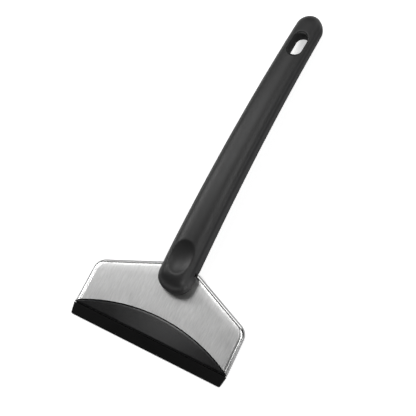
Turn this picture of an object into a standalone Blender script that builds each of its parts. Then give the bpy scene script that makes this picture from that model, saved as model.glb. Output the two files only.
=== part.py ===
"""Ice scraper with a stainless steel face and a long moulded handle.

The pieces are drawn in the head's own frame: X is the width, Y runs from the scraping edge
to the handle's end, and Z = 0 is the front of the steel. An empty then turns the whole
scraper until it lies on its back on the ground, with +Y still along the handle.
"""
import math

import bmesh
import bpy
from mathutils import Matrix, Vector

MM = 0.001

# Clearances
GAP = 0.3 * MM                 # between pieces that touch
NOTCH_GAP = 0.8 * MM           # between the top of the head and the handle's shoulder
SCREW_CLEARANCE = 0.3 * MM     # round a screw's shank

# Outline of the head, seen from the front
HEAD_WIDTH = 112.8 * MM        # at the lower corners of the steel
SHOULDER_WIDTH = 111.2 * MM
SIDE_FOOT = 9.1 * MM           # height at which the steel's sides end
SHOULDER_HEIGHT = 38.9 * MM
SHOULDER_RADIUS = 9.0 * MM
HEAD_TOP = 58.0 * MM
TOP_WIDTH = 20.77 * MM
TOP_RADIUS = 2.5 * MM
ARC_CROWN = 22.95 * MM         # height of the arc in the middle of the steel
SMALL_CORNER = 0.4 * MM        # corners that are only broken, on the head and its edge

# Steel face plate
SHEET = 0.8 * MM
RIM_DEPTH = 3.2 * MM           # how far the turned rim reaches back
RIM_RADIUS = 2.8 * MM
RIM_FALL = 0.12 * MM           # the pressed band along the rim lies this much lower
RIM_BAND = 3.2 * MM            # distance of that band's inner crease from the edge

# Moulded blade body
BODY_BACK = 3.7 * MM           # how far its back lies behind the front of the steel
BODY_FOOT = 8.0 * MM           # height of its lower edge, where the scraping edge starts
PANEL_SET_BACK = 0.6 * MM      # how far the half-moon lies behind the steel along the arc
PANEL_SLOPE = 0.09             # how steeply it rises from there to its lower edge
CREST_CHAMFER = 0.5 * MM
POCKET_DEPTH = 1.3 * MM
POCKET_MARGIN = 3.4 * MM
POCKET_FOOT = 12.0 * MM
RIB_THICKNESS = 1.6 * MM
RIB_PITCH = 13.0 * MM
RIBS_EACH_SIDE = 3
CROSS_RIB_HEIGHT = 28.0 * MM
SCREW_PAD_WIDTH = 24.0 * MM
SCREW_PAD_MARGIN = 7.5 * MM    # below the middle of the tongue's screws
BOSS_DIAMETER = 9.6 * MM
BOSS_HEIGHT = 1.2 * MM

# Scraping edge
EDGE_BOTTOM_WIDTH = 110.4 * MM
EDGE_FRONT_LEVEL = 2.0 * MM    # how far the edge's front corner lies behind the steel's front
EDGE_LAND = 1.4 * MM
EDGE_CORNER_RADIUS = 1.2 * MM
EDGE_SET_BACK = 0.1 * MM
ROOT_THICKNESS = 0.9 * MM
ROOT_LENGTH = 2.0 * MM
ROOT_LEVEL = 2.5 * MM          # middle of the root, behind the steel's front

# Handle
SPINE_RADIUS = 605.0 * MM      # the handle follows one long arc
SPINE_CROWN_RISE = 32.0 * MM   # above the top of the head
SPINE_CROWN_Z = 8.2 * MM
TONGUE_REACH = 18.9 * MM       # how far the tongue comes down over the steel
HANDLE_END = 242.0 * MM
GRIP_WIDTH_LOW = 21.8 * MM
GRIP_WIDTH_END = 17.6 * MM
GRIP_DEPTH_LOW = 19.0 * MM
GRIP_DEPTH_END = 13.2 * MM
GRIP_TAPER_EASE = 1.05
FRONT_RADIUS_LOW = 7.0 * MM
FRONT_RADIUS_END = 5.4 * MM
BACK_RADIUS_LOW = 3.0 * MM
BACK_RADIUS_END = 5.0 * MM
NOSE_LENGTH = 12.9 * MM        # over which the front falls to the steel
NOSE_FALL_POWER = 2.4          # 2 gives an ellipse, more gives a fuller curve
NOSE_PLAN_POWER = 2.2
END_DEPTH_POWER = 3.0
RELIEF_DROP = 0.8 * MM         # small cuts at the sides, this far below the top of the head
RELIEF_LENGTH = 2.4 * MM
RELIEF_CUT = 2.1 * MM
RELIEF_LEVEL = 3.0 * MM

# Thumb dish
DISH_RISE = 22.3 * MM          # from the nose to the middle of the dish
DISH_HALF_WIDTH = 10.2 * MM
DISH_HALF_LENGTH = 13.8 * MM
DISH_HALF_DEPTH = 6.0 * MM
DISH_SINK = 2.9 * MM

# Hanging slot
SLOT_INSET = 22.6 * MM         # from the handle's end to the middle of the slot
SLOT_WIDTH = 9.6 * MM
SLOT_LENGTH = 17.4 * MM
SLOT_TILT = math.radians(7.0)

# Stem of the blade body, let into the handle's back
STEM_WIDTH = 12.0 * MM
STEM_OVERLAP = 8.0 * MM        # how far it starts below the top of the head
STEM_LENGTH = 28.0 * MM        # above the top of the head
STEM_FRONT = 4.0 * MM
STEM_FOOT_BACK = 3.1 * MM
STEM_END_BACK = 1.1 * MM
STEM_CORNER_RADIUS = 4.0 * MM
STEM_ROOT_RADIUS = 0.1 * MM    # hidden inside the head

# Screws
SHANK_DIAMETER = 3.0 * MM
HEAD_DIAMETER = 5.6 * MM
HEAD_HEIGHT = 1.6 * MM
HEAD_DOME = [(0.55, 1.0), (0.86, 0.8), (1.0, 0.4), (1.0, 0.0)]  # shares of its radius and height
TIP_WIDTH = 0.3                # share of the shank's radius left at the tip
SCREW_LENGTH = 12.0 * MM
COUNTERBORE_DIAMETER = 6.4 * MM
COUNTERBORE_DEPTH = 1.8 * MM
TONGUE_SCREW_X = 5.2 * MM
TONGUE_SCREW_RISE = 8.4 * MM   # above the nose
STEM_SCREW_LOW_RISE = 8.0 * MM # above the top of the head
STEM_SCREW_PITCH = 13.0 * MM

# Fineness of the curves
CORNER_STEPS = 6
RIM_STEPS = 4
ARC_STEPS = 40
GRIP_STATIONS = 18
ROUND_END_STATIONS = 8
SCREW_SIDES = 20
SLOT_STEPS = 10
DISH_SIDES = 40
FULLEST = 0.98                 # share of the largest radius that still leaves a side straight
LAST_TURN = math.radians(88.0) # how far the last section lies round a rounded end
CROWDING = 1.5                 # how closely sections crowd towards a rounded end
ARC_OVERRUN = 1.15             # how far the arc's cutters run past the head's sides

# Overshoot of cutters past the surface that they cut
PAST = 5.0 * MM

# Values that follow from the sizes above
BODY_FRONT = SHEET + RIM_FALL + GAP
BODY_INSET = SHEET + GAP
SIDE_TAPER = (HEAD_WIDTH - SHOULDER_WIDTH) / 2 / (SHOULDER_HEIGHT - SIDE_FOOT)
ARC_RISE = ARC_CROWN - SIDE_FOOT
ARC_RADIUS = ((HEAD_WIDTH / 2) ** 2 + ARC_RISE ** 2) / (2 * ARC_RISE)
ARC_CENTRE_Y = ARC_CROWN - ARC_RADIUS
ARC_HALF_ANGLE = math.asin(HEAD_WIDTH / 2 / ARC_RADIUS) * ARC_OVERRUN
SHOULDER_Y = HEAD_TOP + NOTCH_GAP
HANDLE_NOSE = HEAD_TOP - TONGUE_REACH
DISH_Y = HANDLE_NOSE + DISH_RISE
SLOT_Y = HANDLE_END - SLOT_INSET
SPINE_CROWN_Y = HEAD_TOP + SPINE_CROWN_RISE
STEM_FOOT = HEAD_TOP - STEM_OVERLAP
STEM_END = HEAD_TOP + STEM_LENGTH
TONGUE_SCREW_Y = HANDLE_NOSE + TONGUE_SCREW_RISE
STEM_SCREW_LOW = HEAD_TOP + STEM_SCREW_LOW_RISE
STEM_SCREW_HIGH = STEM_SCREW_LOW + STEM_SCREW_PITCH


def clear_scene():
    """Start from an empty scene."""
    for old in list(bpy.data.objects):
        bpy.data.objects.remove(old)


def make_material(name, color, roughness, metallic):
    """One plain Principled material."""
    material = bpy.data.materials.new(name)
    material.use_nodes = True
    shader = material.node_tree.nodes["Principled BSDF"]
    shader.inputs["Base Color"].default_value = (*color, 1.0)
    shader.inputs["Roughness"].default_value = roughness
    shader.inputs["Metallic"].default_value = metallic
    return material


def add_object(name, mesh_builder, parent, material=None):
    """Turn a bmesh into a named object; without a material it is a cutter."""
    bmesh.ops.recalc_face_normals(mesh_builder, faces=mesh_builder.faces)
    mesh = bpy.data.meshes.new(name)
    mesh_builder.to_mesh(mesh)
    mesh_builder.free()
    obj = bpy.data.objects.new(name, mesh)
    bpy.context.scene.collection.objects.link(obj)
    obj.parent = parent
    if material is None:
        obj.hide_render = True
        obj.display_type = "WIRE"
    else:
        mesh.materials.append(material)
    return obj


def shade(obj, angle_degrees=30.0):
    """Smooth shading with sharp edges kept."""
    obj.data.shade_smooth()
    obj.data.set_sharp_from_angle(angle=math.radians(angle_degrees))


def boolean(obj, tool, operation="DIFFERENCE"):
    """Cut, join or trim an object with another one."""
    modifier = obj.modifiers.new(tool.name, "BOOLEAN")
    modifier.operation = operation
    modifier.solver = "EXACT"
    modifier.object = tool


def loft(loops):
    """A closed solid through loops of equally many points, flat at both ends."""
    builder = bmesh.new()
    rings = [[builder.verts.new(point) for point in loop] for loop in loops]
    for lower, upper in zip(rings, rings[1:]):
        count = len(lower)
        for i in range(count):
            j = (i + 1) % count
            builder.faces.new((lower[i], lower[j], upper[j], upper[i]))
    builder.faces.new(rings[0])
    builder.faces.new(rings[-1])
    return builder


def prism(outline, z_low, z_high):
    """An outline in the XY plane, raised from one level to another."""
    return loft([[(x, y, z) for x, y in outline] for z in (z_low, z_high)])


def side_prism(outline, half_width):
    """An outline in the YZ plane, drawn out equally to both sides."""
    return loft([[(x, y, z) for y, z in outline] for x in (-half_width, half_width)])


def box(x_low, x_high, y_low, y_high, z_low, z_high):
    """A plain block between two corners."""
    return prism([(x_low, y_low), (x_high, y_low), (x_high, y_high), (x_low, y_high)], z_low, z_high)


def cylinder(x, y, diameter, z_low, z_high, sides=SCREW_SIDES):
    """An upright cylinder."""
    turn = 2 * math.pi / sides
    outline = [(x + diameter / 2 * math.cos(i * turn), y + diameter / 2 * math.sin(i * turn))
               for i in range(sides)]
    return prism(outline, z_low, z_high)


def round_corners(corners, steps=CORNER_STEPS):
    """Outline of a convex polygon whose corners (x, y, radius) are rounded."""
    points = []
    count = len(corners)
    for i, (x, y, radius) in enumerate(corners):
        corner = Vector((x, y))
        to_last = (Vector(corners[i - 1][:2]) - corner).normalized()
        to_next = (Vector(corners[(i + 1) % count][:2]) - corner).normalized()
        half = to_last.angle(to_next) / 2
        centre = corner + (to_last + to_next).normalized() * (radius / math.sin(half))
        start = corner + to_last * (radius / math.tan(half)) - centre
        sweep = math.pi - 2 * half
        for step in range(steps + 1):
            points.append(tuple(centre + Matrix.Rotation(sweep * step / steps, 2) @ start))
    return points


def inset_polygon(corners, inset):
    """Corners of a counter-clockwise polygon with every side moved inwards."""
    moved = []
    count = len(corners)
    for i in range(count):
        last, here, after = (Vector(corners[(i + k) % count]) for k in (-1, 0, 1))
        along_in = (here - last).normalized()
        along_out = (after - here).normalized()
        normal_in = Vector((-along_in.y, along_in.x))
        normal_out = Vector((-along_out.y, along_out.x))
        shift = (normal_in + normal_out) * (inset / (1 + normal_in.dot(normal_out)))
        moved.append(here + shift)
    return moved


def half_width_at(y):
    """Half the head's width on its straight sides."""
    return HEAD_WIDTH / 2 + (SIDE_FOOT - y) * SIDE_TAPER


def head_outline(inset, foot):
    """The head seen from the front, moved inwards, and cut off at a lower level."""
    low_y = foot - inset
    low_x = half_width_at(low_y)
    right = [(low_x, low_y), (SHOULDER_WIDTH / 2, SHOULDER_HEIGHT), (TOP_WIDTH / 2, HEAD_TOP)]
    corners = right + [(-x, y) for x, y in reversed(right)]
    radii = [SMALL_CORNER, max(SHOULDER_RADIUS - inset, SMALL_CORNER), max(TOP_RADIUS - inset, SMALL_CORNER)]
    radii = radii + radii[::-1]
    moved = inset_polygon(corners, inset)
    return round_corners([(p.x, p.y, r) for p, r in zip(moved, radii)])


def arc_points(radius):
    """Points along the arc of the steel's lower edge, from right to left."""
    points = []
    for i in range(ARC_STEPS + 1):
        angle = ARC_HALF_ANGLE * (1 - 2 * i / ARC_STEPS)
        points.append((radius * math.sin(angle), ARC_CENTRE_Y + radius * math.cos(angle)))
    return points


def places_across():
    """Places across the head, from right to left, that run past its sides."""
    return [HEAD_WIDTH / 2 * ARC_OVERRUN * (1 - 2 * i / ARC_STEPS) for i in range(ARC_STEPS + 1)]


def panel_level(x, y):
    """Height of the half-moon, a cone about the arc's centre."""
    from_centre = math.hypot(x, y - ARC_CENTRE_Y)
    return -PANEL_SET_BACK + PANEL_SLOPE * (ARC_RADIUS - GAP - from_centre)


def taper(low, end, y):
    """A size of the grip, eased from the head to the hanging end."""
    share = (y - HEAD_TOP) / (HANDLE_END - HEAD_TOP)
    share = min(max(share, 0.0), 1.0)
    return low + (end - low) * share ** GRIP_TAPER_EASE


def rounded(share, power):
    """What is left of a size on its way round a curved end, where share runs to 1."""
    return (1 - share ** power) ** (1 / power)


def spine(y):
    """Centre of the grip and its front direction, on one long arc."""
    lean = math.asin((y - SPINE_CROWN_Y) / SPINE_RADIUS)
    centre = Vector((0, y, SPINE_CROWN_Z - SPINE_RADIUS * (1 - math.cos(lean))))
    return centre, Vector((0, math.sin(lean), math.cos(lean)))


def grip_section(y):
    """Half-width, height in front of and behind the spine, and the corner radii."""
    half_width = taper(GRIP_WIDTH_LOW, GRIP_WIDTH_END, y) / 2
    front = back = taper(GRIP_DEPTH_LOW, GRIP_DEPTH_END, y) / 2
    front_radius = taper(FRONT_RADIUS_LOW, FRONT_RADIUS_END, y)
    back_radius = taper(BACK_RADIUS_LOW, BACK_RADIUS_END, y)
    nose_centre = HANDLE_NOSE + GRIP_WIDTH_LOW / 2
    end_centre = HANDLE_END - GRIP_WIDTH_END / 2
    if y < nose_centre:
        share = (nose_centre - y) / (nose_centre - HANDLE_NOSE)
        half_width *= rounded(share, NOSE_PLAN_POWER)
    if y < HANDLE_NOSE + NOSE_LENGTH:
        share = 1 - (y - HANDLE_NOSE) / NOSE_LENGTH
        level = spine(y)[0].z
        front = (level + front) * rounded(share, NOSE_FALL_POWER) - level
    if y > end_centre:
        share = (y - end_centre) / (HANDLE_END - end_centre)
        half_width *= rounded(share, 2)
        front *= rounded(share, END_DEPTH_POWER)
        back *= rounded(share, END_DEPTH_POWER)
    return half_width, front, back, front_radius, back_radius


def grip_loop(y):
    """One rounded cross-section of the handle, square to its spine."""
    half_width, front, back, front_radius, back_radius = grip_section(y)
    centre, forward = spine(y)
    largest = min(half_width, (front + back) / 2) * FULLEST
    front_radius = min(front_radius, largest)
    back_radius = min(back_radius, largest)
    corners = [(half_width, -back, back_radius), (half_width, front, front_radius),
               (-half_width, front, front_radius), (-half_width, -back, back_radius)]
    return [centre + Vector((x, 0, 0)) + forward * height for x, height in round_corners(corners)]


def grip_stations():
    """Places along Y for the handle's sections, close together at the round ends."""
    nose_centre = HANDLE_NOSE + GRIP_WIDTH_LOW / 2
    end_centre = HANDLE_END - GRIP_WIDTH_END / 2
    turns = [math.pi / 2 * (1 - (1 - i / ROUND_END_STATIONS) ** CROWDING)
             for i in range(ROUND_END_STATIONS)]
    turns.append(LAST_TURN)
    nose = [nose_centre - (nose_centre - HANDLE_NOSE) * math.sin(turn) for turn in reversed(turns)]
    end = [end_centre + (HANDLE_END - end_centre) * math.sin(turn) for turn in turns]
    straight = [nose[-1] + (end[0] - nose[-1]) * i / GRIP_STATIONS for i in range(1, GRIP_STATIONS)]
    return nose + straight + end


def stem_plan(margin, foot):
    """The stem seen from the front, with room round it if asked."""
    half = STEM_WIDTH / 2 + margin
    end = STEM_END + margin
    radius = STEM_CORNER_RADIUS + margin
    return round_corners([(half, foot, STEM_ROOT_RADIUS), (half, end, radius),
                          (-half, end, radius), (-half, foot, STEM_ROOT_RADIUS)])


def stem_back(y):
    """Level of the stem's back, which rises towards its end."""
    share = max(y - HEAD_TOP, 0.0) / STEM_LENGTH
    return -STEM_FOOT_BACK + (STEM_FOOT_BACK - STEM_END_BACK) * share


def screw_places():
    """Name, x, y and level of the seat of each screw; all enter from the back."""
    boss_seat = -(BODY_BACK + BOSS_HEIGHT) + COUNTERBORE_DEPTH
    low_seat = stem_back(STEM_SCREW_LOW) + COUNTERBORE_DEPTH
    high_seat = stem_back(STEM_SCREW_HIGH) + COUNTERBORE_DEPTH
    return [("tongue_screw_left", -TONGUE_SCREW_X, TONGUE_SCREW_Y, boss_seat),
            ("tongue_screw_right", TONGUE_SCREW_X, TONGUE_SCREW_Y, boss_seat),
            ("stem_screw_lower", 0.0, STEM_SCREW_LOW, low_seat),
            ("stem_screw_upper", 0.0, STEM_SCREW_HIGH, high_seat)]


def cut_screw_holes(obj, parent, counterbored):
    """Clearance holes for the screws, with seats for their heads where asked."""
    for name, x, y, seat in screw_places():
        top = seat + SCREW_LENGTH + GAP
        hole = cylinder(x, y, SHANK_DIAMETER + 2 * SCREW_CLEARANCE, seat - PAST, top)
        boolean(obj, add_object(obj.name + "_" + name + "_hole", hole, parent))
        if counterbored:
            seat_cut = cylinder(x, y, COUNTERBORE_DIAMETER, seat - PAST, seat)
            boolean(obj, add_object(obj.name + "_" + name + "_seat", seat_cut, parent))


def make_face_plate(parent, material):
    """Pressed steel sheet with a turned rim, its lower edge cut to an arc."""
    bend = -RIM_RADIUS - RIM_FALL
    outer = [(RIM_BAND, 0.0)]
    inner = [(RIM_BAND, -SHEET)]
    for i in range(RIM_STEPS + 1):
        turn = math.pi / 2 * (1 - i / RIM_STEPS)
        for wall, radius in ((outer, RIM_RADIUS), (inner, RIM_RADIUS - SHEET)):
            wall.append((RIM_RADIUS - radius * math.cos(turn), bend + radius * math.sin(turn)))
    outer.append((0.0, -RIM_DEPTH))
    inner.append((SHEET, -RIM_DEPTH))
    foot = -PAST
    loops = [[(x, y, z) for x, y in head_outline(inset, foot)] for inset, z in outer + inner[::-1]]
    plate = add_object("face_plate", loft(loops), parent, material)
    below_arc = arc_points(ARC_RADIUS) + [(-HEAD_WIDTH, foot - PAST), (HEAD_WIDTH, foot - PAST)]
    cutter = add_object("arc_cutter", prism(below_arc, -RIM_DEPTH - PAST, PAST), parent)
    boolean(plate, cutter)
    notch_half = STEM_WIDTH / 2 + GAP
    notch = box(-notch_half, notch_half, HEAD_TOP - 2 * RIM_RADIUS, HEAD_TOP + PAST, -RIM_DEPTH - PAST, PAST)
    boolean(plate, add_object("stem_notch", notch, parent))
    cut_screw_holes(plate, parent, counterbored=False)
    shade(plate)
    return plate


def make_back_pockets(parent):
    """Cutter for the pockets in the back of the blade body, split by its ribs."""
    floor = -BODY_BACK + POCKET_DEPTH
    outline = head_outline(BODY_INSET + POCKET_MARGIN, POCKET_FOOT + BODY_INSET + POCKET_MARGIN)
    pockets = add_object("back_pockets", prism(outline, -BODY_BACK - PAST, floor), parent)
    low = -BODY_BACK - 2 * PAST
    for side in (-1, 1):
        for i in range(RIBS_EACH_SIDE):
            x = side * RIB_PITCH * (i + 1)
            rib = box(x - RIB_THICKNESS / 2, x + RIB_THICKNESS / 2, 0, HEAD_TOP, low, floor + PAST)
            boolean(pockets, add_object("rib_%d_%d" % (side + 1, i), rib, parent))
    y = CROSS_RIB_HEIGHT
    cross = box(-HEAD_WIDTH, HEAD_WIDTH, y - RIB_THICKNESS / 2, y + RIB_THICKNESS / 2, low, floor + PAST)
    boolean(pockets, add_object("cross_rib", cross, parent))
    half = SCREW_PAD_WIDTH / 2
    pad = box(-half, half, TONGUE_SCREW_Y - SCREW_PAD_MARGIN, HEAD_TOP + PAST, low, floor + PAST)
    boolean(pockets, add_object("screw_pad", pad, parent))
    return pockets


def make_half_moon(parent):
    """The raised lower part of the blade body, a slice of a cone under the arc."""
    inner_radius = BODY_FOOT - ARC_CENTRE_Y - PAST
    outer_radius = ARC_RADIUS - GAP
    loops = []
    for (x_in, y_in), (x_out, y_out) in zip(arc_points(inner_radius), arc_points(outer_radius)):
        loops.append([(x_in, y_in, -BODY_BACK - PAST), (x_out, y_out, -BODY_BACK - PAST),
                      (x_out, y_out, panel_level(x_out, y_out)), (x_in, y_in, panel_level(x_in, y_in))])
    half_moon = add_object("half_moon", loft(loops), parent)
    top = ARC_CROWN + PAST
    trim = [(half_width_at(BODY_FOOT), BODY_FOOT), (half_width_at(top), top)]
    trim = trim + [(-x, y) for x, y in reversed(trim)]
    trim = prism(trim, -BODY_BACK - 2 * PAST, PAST)
    boolean(half_moon, add_object("half_moon_trim", trim, parent), "INTERSECT")
    return half_moon


def make_crest_cutter(parent):
    """Cutter for the chamfer along the half-moon's lower edge."""
    loops = []
    for x in places_across():
        level = panel_level(x, BODY_FOOT)
        loops.append([(x, BODY_FOOT - CREST_CHAMFER, level - 2 * CREST_CHAMFER),
                      (x, BODY_FOOT + 2 * CREST_CHAMFER, level + CREST_CHAMFER),
                      (x, BODY_FOOT - CREST_CHAMFER, level + CREST_CHAMFER)])
    return add_object("crest_cutter", loft(loops), parent)


def make_stem(parent):
    """The part of the blade body that reaches up into the handle's back."""
    skin = (BODY_BACK - BODY_FRONT) / 4
    end = STEM_END + PAST
    profile = [(STEM_FOOT, -BODY_BACK + skin), (HEAD_TOP, stem_back(HEAD_TOP)), (end, stem_back(end)),
               (end, STEM_FRONT), (SHOULDER_Y + GAP, STEM_FRONT),
               (SHOULDER_Y + GAP, -BODY_FRONT - skin), (STEM_FOOT, -BODY_FRONT - skin)]
    stem = add_object("stem", side_prism(profile, STEM_WIDTH), parent)
    plan = prism(stem_plan(0.0, STEM_FOOT + GAP), -BODY_BACK - PAST, STEM_FRONT + PAST)
    boolean(stem, add_object("stem_plan", plan, parent), "INTERSECT")
    return stem


def make_blade_body(parent, material):
    """Moulded carrier behind the steel, with the half-moon, the ribs and the stem."""
    foot = BODY_FOOT + BODY_INSET
    chamfer = RIM_RADIUS + GAP - BODY_INSET
    levels = [(BODY_INSET, -BODY_BACK - PAST / 2), (BODY_INSET, -BODY_FRONT - chamfer),
              (BODY_INSET + chamfer, -BODY_FRONT)]
    loops = [[(x, y, z) for x, y in head_outline(inset, foot)] for inset, z in levels]
    body = add_object("blade_body", loft(loops), parent, material)
    boolean(body, make_half_moon(parent), "UNION")
    behind = box(-HEAD_WIDTH, HEAD_WIDTH, 0.0, STEM_END, -BODY_BACK - 4 * PAST, -BODY_BACK)
    boolean(body, add_object("flat_back", behind, parent))
    boolean(body, make_back_pockets(parent))
    boolean(body, make_stem(parent), "UNION")
    root_reach = half_width_at(BODY_FOOT) - BODY_INSET
    root_half = ROOT_THICKNESS / 2
    root = box(-root_reach, root_reach, BODY_FOOT - ROOT_LENGTH, BODY_FOOT + ROOT_LENGTH,
               -ROOT_LEVEL - root_half, -ROOT_LEVEL + root_half)
    boolean(body, add_object("edge_root", root, parent), "UNION")
    for name, x, y, seat in screw_places()[:2]:
        boss = cylinder(x, y, BOSS_DIAMETER, -BODY_BACK - BOSS_HEIGHT, -BODY_FRONT - GAP)
        boolean(body, add_object(name + "_boss", boss, parent), "UNION")
    boolean(body, make_crest_cutter(parent))
    cut_screw_holes(body, parent, counterbored=True)
    shade(body)
    return body


def make_scraping_edge(parent, material, rest_slope):
    """Tough wedge-shaped strip slid onto the blade body's root from the side."""
    top = BODY_FOOT - GAP
    back_low = -EDGE_FRONT_LEVEL - EDGE_LAND
    loops = []
    for x in places_across():
        front_top = panel_level(x, BODY_FOOT) - CREST_CHAMFER - EDGE_SET_BACK
        loops.append([(x, 0.0, back_low), (x, 0.0, -EDGE_FRONT_LEVEL), (x, top, front_top),
                      (x, top, back_low + rest_slope * top)])
    edge = add_object("scraping_edge", loft(loops), parent, material)
    low_half = EDGE_BOTTOM_WIDTH / 2
    top_half = half_width_at(BODY_FOOT)
    plan = round_corners([(low_half, 0.0, EDGE_CORNER_RADIUS), (top_half, top, SMALL_CORNER),
                          (-top_half, top, SMALL_CORNER), (-low_half, 0.0, EDGE_CORNER_RADIUS)])
    plan = prism(plan, back_low - PAST, PAST)
    boolean(edge, add_object("edge_plan", plan, parent), "INTERSECT")
    groove_half = ROOT_THICKNESS / 2 + GAP
    groove = box(-HEAD_WIDTH, HEAD_WIDTH, top - ROOT_LENGTH, BODY_FOOT + PAST,
                 -ROOT_LEVEL - groove_half, -ROOT_LEVEL + groove_half)
    boolean(edge, add_object("edge_groove", groove, parent))
    shade(edge)
    return edge


def make_dish(parent):
    """Cutter for the thumb dish."""
    builder = bmesh.new()
    bmesh.ops.create_uvsphere(builder, u_segments=DISH_SIDES, v_segments=DISH_SIDES // 2, radius=1.0)
    centre, forward = spine(DISH_Y)
    rim = centre.z + forward.z * grip_section(DISH_Y)[1]
    lift = DISH_HALF_DEPTH - DISH_SINK
    scale = Matrix.Diagonal((DISH_HALF_WIDTH, DISH_HALF_LENGTH, DISH_HALF_DEPTH, 1.0))
    place = Matrix.Translation((0, DISH_Y, rim + lift))
    bmesh.ops.transform(builder, matrix=place @ scale, verts=builder.verts)
    return add_object("thumb_dish", builder, parent)


def make_slot(parent):
    """Cutter for the hanging slot, a stadium drawn through the handle."""
    half_width = SLOT_WIDTH / 2
    half_length = SLOT_LENGTH / 2
    radius = half_width * FULLEST
    outline = round_corners([(half_width, -half_length, radius), (half_width, half_length, radius),
                             (-half_width, half_length, radius), (-half_width, -half_length, radius)],
                            SLOT_STEPS)
    builder = prism(outline, -GRIP_DEPTH_LOW, GRIP_DEPTH_LOW)
    place = Matrix.Translation(spine(SLOT_Y)[0]) @ Matrix.Rotation(-SLOT_TILT, 4, "X")
    bmesh.ops.transform(builder, matrix=place, verts=builder.verts)
    return add_object("hanging_slot", builder, parent)


def make_handle(parent, material):
    """Moulded handle: tongue over the steel, thumb dish, curved grip and hanging slot."""
    handle = add_object("handle", loft([grip_loop(y) for y in grip_stations()]), parent, material)
    side = GRIP_WIDTH_LOW
    head_space = box(-side, side, 0.0, SHOULDER_Y, -4 * PAST, GAP)
    boolean(handle, add_object("head_space", head_space, parent))
    for name, direction in (("left", -1), ("right", 1)):
        across = sorted((direction * (GRIP_WIDTH_LOW / 2 - RELIEF_CUT), direction * side))
        relief_top = HEAD_TOP - RELIEF_DROP
        relief = box(*across, relief_top - RELIEF_LENGTH, relief_top, -PAST, RELIEF_LEVEL)
        boolean(handle, add_object("rim_relief_" + name, relief, parent))
    pocket = prism(stem_plan(GAP, SHOULDER_Y - PAST), -4 * PAST, STEM_FRONT + GAP)
    pocket_cut = add_object("stem_pocket", pocket, parent)
    above = box(-side, side, SHOULDER_Y - 2 * PAST, SHOULDER_Y, -PAST, 4 * PAST)
    boolean(pocket_cut, add_object("pocket_end", above, parent))
    boolean(handle, pocket_cut)
    boolean(handle, make_dish(parent))
    boolean(handle, make_slot(parent))
    cut_screw_holes(handle, parent, counterbored=False)
    shade(handle)
    return handle


def make_screw(name, x, y, seat, parent, material):
    """A pan-head screw that enters from the back."""
    head = HEAD_DIAMETER / 2
    shank = SHANK_DIAMETER / 2
    under = seat - GAP
    tip = seat + SCREW_LENGTH
    profile = [(head * wide, under - HEAD_HEIGHT * high) for wide, high in HEAD_DOME]
    profile += [(shank, under), (shank, tip - shank), (shank * TIP_WIDTH, tip)]
    turn = 2 * math.pi / SCREW_SIDES
    loops = [[(x + radius * math.cos(i * turn), y + radius * math.sin(i * turn), z)
              for i in range(SCREW_SIDES)] for radius, z in profile]
    screw = add_object(name, loft(loops), parent, material)
    shade(screw)
    return screw


def rest_line():
    """Slope of the ground under the scraper: it touches the edge and the handle's end."""
    back_low = -EDGE_FRONT_LEVEL - EDGE_LAND
    slopes = []
    for y in grip_stations():
        if y > SPINE_CROWN_Y:
            lowest = min(grip_loop(y), key=lambda point: (point.z - back_low) / point.y)
            slopes.append((lowest.z - back_low) / lowest.y)
    return min(slopes)


def lay_on_ground(parent, pieces, rest_slope):
    """Turn the empty so that the scraper lies on its back, centred over the origin."""
    parent.rotation_euler = (-math.atan(rest_slope), 0, 0)
    bpy.context.view_layer.update()
    graph = bpy.context.evaluated_depsgraph_get()
    corners = []
    for piece in pieces:
        ready = piece.evaluated_get(graph)
        corners += [ready.matrix_world @ vertex.co for vertex in ready.data.vertices]
    lows = [min(corner[axis] for corner in corners) for axis in range(3)]
    highs = [max(corner[axis] for corner in corners) for axis in range(3)]
    parent.location = (-(lows[0] + highs[0]) / 2, -(lows[1] + highs[1]) / 2, -lows[2])


def main():
    clear_scene()
    steel = make_material("brushed_steel", (0.62, 0.62, 0.61), 0.34, 1.0)
    body_plastic = make_material("body_plastic", (0.03, 0.03, 0.032), 0.5, 0.0)
    edge_plastic = make_material("edge_plastic", (0.008, 0.008, 0.008), 0.62, 0.0)
    handle_plastic = make_material("handle_plastic", (0.035, 0.036, 0.036), 0.55, 0.0)
    screw_steel = make_material("screw_steel", (0.45, 0.45, 0.46), 0.35, 1.0)
    scraper = bpy.data.objects.new("scraper", None)
    bpy.context.scene.collection.objects.link(scraper)
    rest_slope = rest_line()
    pieces = [make_face_plate(scraper, steel),
              make_blade_body(scraper, body_plastic),
              make_scraping_edge(scraper, edge_plastic, rest_slope),
              make_handle(scraper, handle_plastic)]
    for name, x, y, seat in screw_places():
        pieces.append(make_screw(name, x, y, seat, scraper, screw_steel))
    lay_on_ground(scraper, pieces, rest_slope)


main()
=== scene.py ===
import math

import bmesh
import bpy
import numpy as np
from mathutils import Matrix, Vector


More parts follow.
